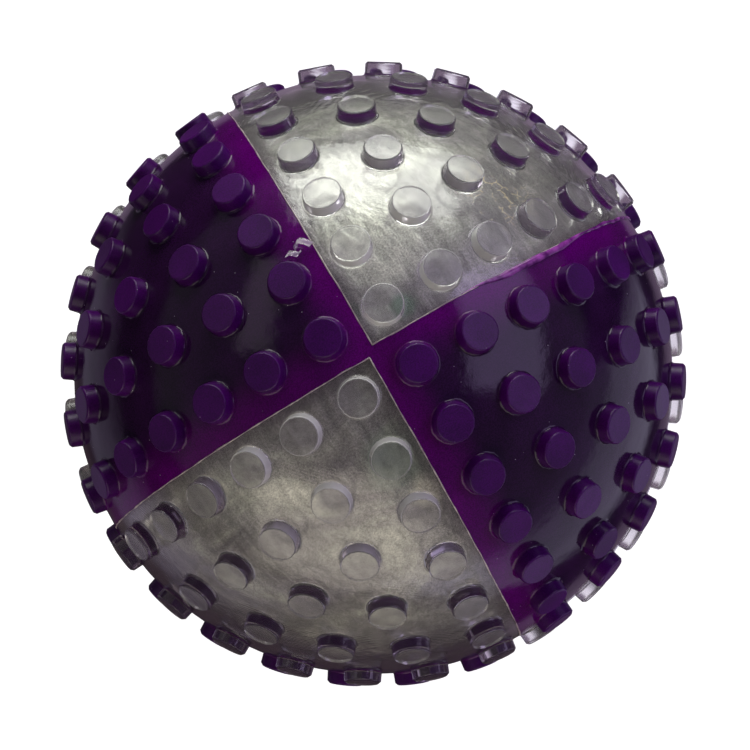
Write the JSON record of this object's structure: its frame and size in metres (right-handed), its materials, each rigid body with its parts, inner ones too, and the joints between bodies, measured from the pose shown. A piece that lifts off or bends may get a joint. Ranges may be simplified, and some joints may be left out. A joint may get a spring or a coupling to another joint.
{
  "type": "playground rubber ball",
  "caption": "Hollow rubber play ball covered in round flat-topped studs, moulded in see-through and purple wedge panels over an air bladder with a needle valve.",
  "frame": {"origin": "centre of the ball", "axes": "+Z through the corner where the four upper panels meet, -Z through the needle valve, +X and +Y in the planes of the seams between the upper panels"},
  "size_m": [0.1, 0.1, 0.0998],
  "materials": {
    "clear_rubber": "glossy see-through thermoplastic rubber, flat stud tops slightly frosted",
    "purple_rubber": "glossy deep purple translucent thermoplastic rubber, flat stud tops satin",
    "bladder_film": "silver-grey satin film with fine streaks",
    "valve_rubber": "matt black rubber"
  },
  "bodies": {
    "root": {"upper_clear_panel_1": "clear_rubber", "upper_clear_panel_2": "clear_rubber", "upper_purple_panel_1": "purple_rubber", "upper_purple_panel_2": "purple_rubber", "lower_clear_panel_1": "clear_rubber", "lower_clear_panel_2": "clear_rubber", "lower_purple_panel_1": "purple_rubber", "lower_purple_panel_2": "purple_rubber", "inner_air_bladder": "bladder_film", "valve_seat": "valve_rubber", "valve_core": "valve_rubber"}
  },
  "joints": []
}
